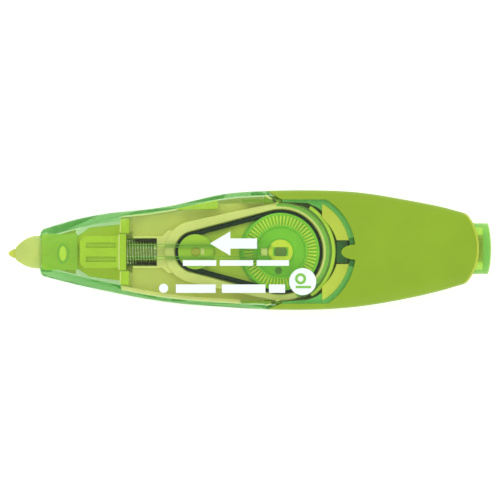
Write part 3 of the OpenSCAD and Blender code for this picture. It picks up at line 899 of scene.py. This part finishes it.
def nozzle_and_floors():
    """The nozzle's inner slab, the chamber behind it and the thin floors of the casing."""
    slab = [(-59.2, -5.1), (-58.6, -5.7), (-49, -5.7), (-49, 4.6), (-58.6, 4.6), (-59.2, 4)]
    solid("nozzle_insert", slab, (13.03, 13.18), "casing", "sleeve", bevel=0.04)
    chamber = [(-49.6, 2.6), (-48.8, 4.2), (-46, 6.2), (-37, 7.2),
               (-37, -8.6), (-46, -7.4), (-48.8, -5.4), (-49.6, -4)]
    solid("chamber_plate", chamber, (3.22, 3.5), "casing", "chamber", bevel=0.08)
    # The nozzle floor's pale tone is a painted highlight: it shows as the light patches inside the clear
    # nozzle
    floor_plate("nozzle_floor", -59.5, -49.9, 1.6, "pale")
    floor_plate("bay_floor", -36.9, 4, 0.3, "cream")
    solid("spring_pocket_floor", rect(-35.1, -4.4, -26.5, 3.2), (1.5, 1.7), "casing", "block",
          bevel=0.03)


# Front end of the cartridge bay: the flange's edge, and a step on each side of it as (low Y, high Y)
FLANGE_EDGE = rect(-37.35, -5.7, -36.95, 4.5)
BAY_STEP_X = (-36.9, -34.3)
BAY_STEP_YS = ((4.75, 8.9), (-9.9, -5.95))
# Edges along the slanted ends of the rim
RIM_EDGES = {
    "rim_edge_upper": [(4.4, 15.4), (8.0, 13.2), (8.4, 13.5), (4.8, 15.7)],
    "rim_edge_lower": [(4.6, -15.7), (8.7, -13.9), (8.9, -14.3), (4.8, -16.0)],
}
# Floors of the grooves in the guide bridge's top, drawn darker than the bridge as painted shade in the
# grooves
GROOVE_YS = (1.35, -2.65)
GROOVE_X = (-46.4, -38.2)
GROOVE_HALF = 0.7


def bay_edges():
    """Pale edges and steps at the front of the cartridge bay, along the rim and on the bridge."""
    solid("flange_edge", FLANGE_EDGE, (14.1, 14.75), "casing", "edge", bevel=0.1)
    x0, x1 = BAY_STEP_X
    for i, (y0, y1) in enumerate(BAY_STEP_YS):
        solid("bay_step_%d" % i, rect(x0, y0, x1, y1), (12.2, 14.3), "casing", "bridge",
              bevel=0.2)
        solid("bay_step_edge_%d" % i, rect(x0 - 0.05, y0 + 0.2, x0 + 0.3, y1 - 0.2), (14.25, 14.5),
              "casing", "edge", bevel=0.05)
    for name, outline in RIM_EDGES.items():
        solid(name, outline, (13.6, 14.9), "casing", "edge", bevel=0.05)
    for i, y in enumerate(GROOVE_YS):
        groove = rect(GROOVE_X[0], y - GROOVE_HALF, GROOVE_X[1], y + GROOVE_HALF)
        solid("bridge_groove_%d" % i, groove, (14.08, 14.14), "casing", "groove",
              bevel=0.02)


# ---------------------------------------------------------------- rear housing, in millimetres

LEDGE_R = (18.4, 16.05)
LEDGE_Z = (14.3, 15.1)
# Arcs of the ledge in degrees, with the pusher's opening between them
LEDGE_ARCS = ((14, 63), (-61, -14))
RECESS_HALF = 15
CORNER_UPPER = [(9.3, 15.6), (23.0, 15.6), (22.6, 13.0), (20.7, 12.4),
                (20.7, 11.2), (19.2, 12.2), (16.5, 13.4), (9.3, 13.7)]
CORNER_LOWER = [(9.3, -14.7), (16.5, -14.2), (19.0, -13.3), (20.7, -12.2),
                (20.7, -13.4), (22.4, -13.9), (22.8, -15.8), (9.3, -15.8)]


def window_ledge():
    """Ledge of the rear housing that the round end of the window rests over, open for the pusher."""
    cx, cy = WINDOW_C.x / MM, WINDOW_C.y / MM
    for i, (a0, a1) in enumerate(LEDGE_ARCS):
        solid("window_ledge_%d" % i, band(cx, cy, *LEDGE_R, a0, a1), LEDGE_Z, "rear_housing",
              "ledge", bevel=0.12)
    for name, outline in (("window_corner_upper", CORNER_UPPER), ("window_corner_lower", CORNER_LOWER)):
        solid(name, outline, (14.22, 15.0), "rear_housing", "ledge", bevel=0.1)
    floor_plate("housing_floor", 4.1, 29.2, 0.3, "bridge", "rear_housing", "opaque_lime")
    recess = band(cx, cy, *LEDGE_R, -RECESS_HALF, RECESS_HALF, 12)
    solid("pusher_recess", recess, (14.2, 14.97), "rear_housing", "block", bevel=0.05)


# ---------------------------------------------------------------- cartridge, in millimetres

# Radii around the big and the small pulley
WELL_R = (12.15, 6.0)
GUARD_OUTER_R = (14.0, 8.9)
GUARD_INNER_R = (12.25, 6.1)
WELL_Z = (11.1, 11.3)
GUARD_Z = (11.22, 13.84)
OPENING_Z = (10, 15)
# Curved walls behind the big pulley: (name, outer and inner radius, arc in degrees, Z, look, bevel)
END_WALLS = (
    ("end_wall_green", (13.9, 12.9), (-70, 95), (11.2, 13.9), "flange", 0.15),
    # The olive strip is painted shade: a dark line in the shade colour beside the crescent
    ("end_wall_olive", (14.55, 13.95), (-64, 68), (11.2, 13.9), "slot", 0.1),
    # The crescent strip is a painted highlight: a bright band drawn along the end wall
    ("end_wall_crescent", (15.7, 14.6), (-55, 57), (11.6, 14.1), "crescent", 0.25),
)
# Strips at the cartridge's front end and walls along the spring's pocket, as (low Y, high Y)
APRON_X = (-35.4, -33.3)
APRON_YS = ((5.2, 8.3), (-9.8, -6.4))
POCKET_X = (-33.2, -25)
POCKET_YS = ((3.35, 3.95), (-5.15, -4.55))
SEAT_CAP = [(-26.4, 3.9), (-24.9, 3.9), (-23.2, 5.6), (-21.9, 5.6),
            (-21.9, -6.6), (-23.2, -6.6), (-24.9, -5.1), (-26.4, -5.1)]


def belt_loop(radii, span):
    """A solid loop around both pulleys."""
    path = loop_path(radii[0] * MM, radii[1] * MM, 0)
    return prism([(x, y) for x, y, _ in path], span[0] * MM, span[1] * MM)


def cartridge_details():
    """The well inside the belt, the guard around it, and the walls beside the spring and the pulley."""
    finish_piece(cut(belt_loop(WELL_R, WELL_Z)), "belt_well_floor", "cartridge", LOOKS["well"])
    opening = belt_loop(GUARD_INNER_R, OPENING_Z)
    guard = cut(belt_loop(GUARD_OUTER_R, GUARD_Z), ("DIFFERENCE", opening), bevel=0.3 * MM, segments=3)
    finish_piece(guard, "belt_guard", "cartridge", LOOKS["band"])
    for i, (y0, y1) in enumerate(APRON_YS):
        solid("cartridge_apron_%d" % i, rect(APRON_X[0], y0, APRON_X[1], y1), (9.6, 11.1),
              "cartridge", "deck", bevel=0.15)
    for name, radii, arc, span, look, bevel in END_WALLS:
        outline = band(SUPPLY.x / MM, SUPPLY.y / MM, *radii, *arc)
        solid(name, outline, span, "cartridge", look, bevel)
    for i, (y0, y1) in enumerate(POCKET_YS):
        solid("pocket_wall_%d" % i, rect(POCKET_X[0], y0, POCKET_X[1], y1), (9.5, 12.6),
              "cartridge", "edge", bevel=0.12)
    solid("seat_cap", SEAT_CAP, (11.3, 12.8), "cartridge", "band", bevel=0.15)


# ---------------------------------------------------------------- nozzle boss and pulleys, in millimetres

BOSS = (-53.2, -1)


def nozzle_boss():
    """Oval boss on the nozzle's inner slab, with a domed centre."""
    solid("nozzle_boss", disc(*BOSS, 1.65, 2.8), (13.15, 13.5), "casing", "flange",
          bevel=0.15, holes=[disc(*BOSS, 1.15, 2.25)])
    solid("nozzle_boss_dome", disc(*BOSS, 1.1, 2.2), (13.15, 13.42), "casing", "crescent",
          bevel=0.12)


# Half sections of the pulleys as (radius, Z), from the foot outwards and back over the top
BIG_PULLEY = (
    (3.2, 10.4), (3.2, 11.45),                                          # boss under the disc
    (11.85, 11.45), (11.85, 11.8), (10.4, 11.9),                        # lower flange
    (10.4, 13.2), (11.1, 13.45), (11.1, 13.7), (10.7, 13.8), (10.35, 13.8),  # belt groove and rim
    (10.3, 13.4), (7.75, 13.4), (7.7, 13.8), (7.15, 13.8),              # floor under the bars, raised ring
    (7.05, 13.1), (3.7, 13.1),                                          # sunk disc
    (3.55, 13.8), (1.85, 13.8), (1.85, 10.4),                           # hub and bore
)
SMALL_PULLEY = (
    (1.3, 11.5), (5.6, 11.5), (5.6, 11.8), (4.3, 11.9),                 # lower flange
    (4.3, 13.3), (5.0, 13.5), (5.0, 13.75), (4.6, 13.8), (1.3, 13.8),   # belt groove, rim and top
)
TOOTH_COUNT = 60
TOOTH_R = (7.7, 10.35)
TOOTH_HALF = (0.18, 0.28)
TOOTH_Z = (13.35, 13.78)


def turned(name, centre, profile, steps, body, look, node):
    """A pulley turned from its half section, which stands for a CAD pulley."""
    shape = lathe(centre, [(r * MM, z * MM) for r, z in profile], "Z", steps)
    piece(name, *shape, body, LOOKS[look], "pulley_green", (node,), 30)


def tooth(centre, a):
    """One of the bars between the big pulley's slots, at angle a."""
    outline = []
    for r, w in ((TOOTH_R[0], -TOOTH_HALF[0]), (TOOTH_R[1], -TOOTH_HALF[1]),
                 (TOOTH_R[1], TOOTH_HALF[1]), (TOOTH_R[0], TOOTH_HALF[0])):
        outline.append((centre.x + (r * math.cos(a) - w * math.sin(a)) * MM,
                        centre.y + (r * math.sin(a) + w * math.cos(a)) * MM))
    return prism(outline, TOOTH_Z[0] * MM, TOOTH_Z[1] * MM)


def big_pulley():
    """The belt pulley of the supply reel: slotted rim, raised ring, sunk disc and keyed hub."""
    cx, cy = SUPPLY.x / MM, SUPPLY.y / MM
    turned("slotted_pulley", SUPPLY, BIG_PULLEY, 120, "supply_reel", "pulley", "supply_pulley")
    teeth = [tooth(SUPPLY, math.tau * i / TOOTH_COUNT) for i in range(TOOTH_COUNT)]
    piece("pulley_teeth", *joined(*teeth), "supply_reel", LOOKS["well"], "pulley_green")
    solid("pulley_hub_cap", disc(cx, cy, 3.5), (13.78, 13.95), "supply_reel", "hub",
          bevel=0.06, holes=[rect(cx - 2.2, cy - 1.3, cx + 2.2, cy + 1.3)])
    # The dimple is painted shade: a dark dot in the shade colour
    solid("pulley_dimple", disc(cx - 0.6, cy - 5.4, 1.0), (13.1, 13.3), "supply_reel", "slot",
          bevel=0.05)
    solid("pulley_key", rect(cx - 5.6, cy - 1.2, cx - 3.7, cy + 1.1), (13.1, 13.9), "supply_reel",
          "edge", bevel=0.15)


def small_pulley():
    """The belt pulley of the take-up reel, its key, and the headed end of the pin that it turns on."""
    cx, cy = TAKEUP.x / MM, TAKEUP.y / MM
    turned("small_pulley_disc", TAKEUP, SMALL_PULLEY, 72, "takeup_reel", "takeup", "takeup_pulley")
    solid("small_pulley_key", rect(cx + 1.4, cy - 0.9, cx + 2.5, cy + 1.0), (13.75, 13.9),
          "takeup_reel", "edge", bevel=0.04)
    solid("takeup_pin_cap", disc(cx, cy, 1.22), (13.88, 14.02), "cartridge", "pin",
          bevel=0.04)


# ---------------------------------------------------------------- prints on the window, in millimetres

PRINT_Z = (16.45, 16.49)
OVERPRINT_Z = (16.49, 16.498)
ARROW = [(-11.2, 1.85), (-5.4, 5.3), (-5.4, 3.3), (2.2, 3.3), (2.2, 0.4), (-5.4, 0.4), (-5.4, -1.6)]
# Rows of plain bars, as (low Y, high Y) and each bar's span along X
UPPER_ROW_Y = (-4.5, -2.9)
UPPER_ROW = ((-18.9, -9.4), (-8.4, 1.1), (2.1, 11.3))
LOWER_ROW_Y = (-12.2, -9.8)
LOWER_ROW = ((-20.9, -9.6), (-7.8, 4.6), (5.6, 10.2))
PRINT_DOT = disc(-24.4, -10.9, 1.3)
PRINT_DISC = disc(15.2, -9, 3.85)
PRINT_REEL = (14.6, -8.2)
PRINT_STRIP = rect(13.2, -10.9, 17.6, -10.2)


def print_mark(name, outline, span=PRINT_Z, look="print", holes=()):
    """One flat printed mark."""
    solid(name, outline, span, "casing", look, bevel=0, holes=holes)


def print_bars(name, row_y, spans):
    """A row of plain bars."""
    for i, (x0, x1) in enumerate(spans):
        print_mark("%s_%d" % (name, i), rect(x0, row_y[0], x1, row_y[1]))


def prints():
    """Generic marks: an arrow to the tip, plain bars, a dot, and a disc with a ring and a line."""
    print_mark("print_arrow", ARROW)
    print_bars("print_upper_bar", UPPER_ROW_Y, UPPER_ROW)
    print_mark("print_dot", PRINT_DOT)
    print_bars("print_lower_bar", LOWER_ROW_Y, LOWER_ROW)
    print_mark("print_disc", PRINT_DISC)
    print_mark("print_reel", disc(*PRINT_REEL, 1.6), OVERPRINT_Z, "print_green",
               holes=[disc(*PRINT_REEL, 0.8)])
    print_mark("print_strip", PRINT_STRIP, OVERPRINT_Z, "print_green")


ribs()
shelves()
nozzle_and_floors()
bay_edges()
window_ledge()
cartridge_details()
nozzle_boss()
big_pulley()
small_pulley()
prints()


# ---------------------------------------------------------------- stage, light and camera

FLOOR_HALF = 2.0
FLOOR_DROP = 0.2 * MM


def floor():
    """A large pale floor just under the object, with a faint glow that keeps it white."""
    corners = [(-FLOOR_HALF, -FLOOR_HALF, 0), (FLOOR_HALF, -FLOOR_HALF, 0),
               (FLOOR_HALF, FLOOR_HALF, 0), (-FLOOR_HALF, FLOOR_HALF, 0)]
    mesh = bpy.data.meshes.new("floor")
    mesh.from_pydata(corners, [], [(0, 1, 2, 3)])
    obj = bpy.data.objects.new("floor", mesh)
    bpy.context.scene.collection.objects.link(obj)
    material, _, _, shader = new_material("floor_white")
    shader.inputs["Base Color"].default_value = (0.95, 0.95, 0.95, 1)
    shader.inputs["Roughness"].default_value = 0.9
    shader.inputs["Emission Color"].default_value = (1, 1, 1, 1)
    shader.inputs["Emission Strength"].default_value = 0.35
    obj.data.materials.append(material)
    obj.location.z = -FLOOR_DROP


def area_light(name, place, size, power):
    """A square soft light that points at the origin."""
    lamp = bpy.data.lights.new(name, "AREA")
    lamp.size = size
    lamp.energy = power
    obj = bpy.data.objects.new(name, lamp)
    obj.location = place
    obj.rotation_euler = (-Vector(place)).to_track_quat("-Z", "Y").to_euler()
    bpy.context.scene.collection.objects.link(obj)


def studio():
    """White surroundings with a key and a fill light."""
    scene = bpy.context.scene
    world = bpy.data.worlds.new("studio")
    world.use_nodes = True
    background = world.node_tree.nodes["Background"]
    background.inputs["Color"].default_value = (1, 1, 1, 1)
    background.inputs["Strength"].default_value = 0.95
    scene.world = world
    scene.view_settings.view_transform = "Standard"
    area_light("key", (-0.25, 0.45, 0.6), 0.5, 1.3)
    area_light("fill", (0.3, -0.5, 0.5), 0.6, 1.0)


# Width of the view over the object's length, the camera's height, and its offset along X
VIEW_SHARE = 1.032
CAMERA_Z = 1.4
CAMERA_X = 0.2 * MM
SENSOR_MM = 36


def camera():
    """A long lens straight above the broad face."""
    data = bpy.data.cameras.new("camera")
    data.sensor_width = SENSOR_MM
    data.lens = SENSOR_MM * (CAMERA_Z - HIGH.z) / ((HIGH.x - LOW.x) * VIEW_SHARE)
    data.clip_start = 0.01
    obj = bpy.data.objects.new("camera", data)
    obj.location = (CAMERA_X, 0, CAMERA_Z)
    bpy.context.scene.collection.objects.link(obj)
    bpy.context.scene.camera = obj


floor()
studio()
camera()
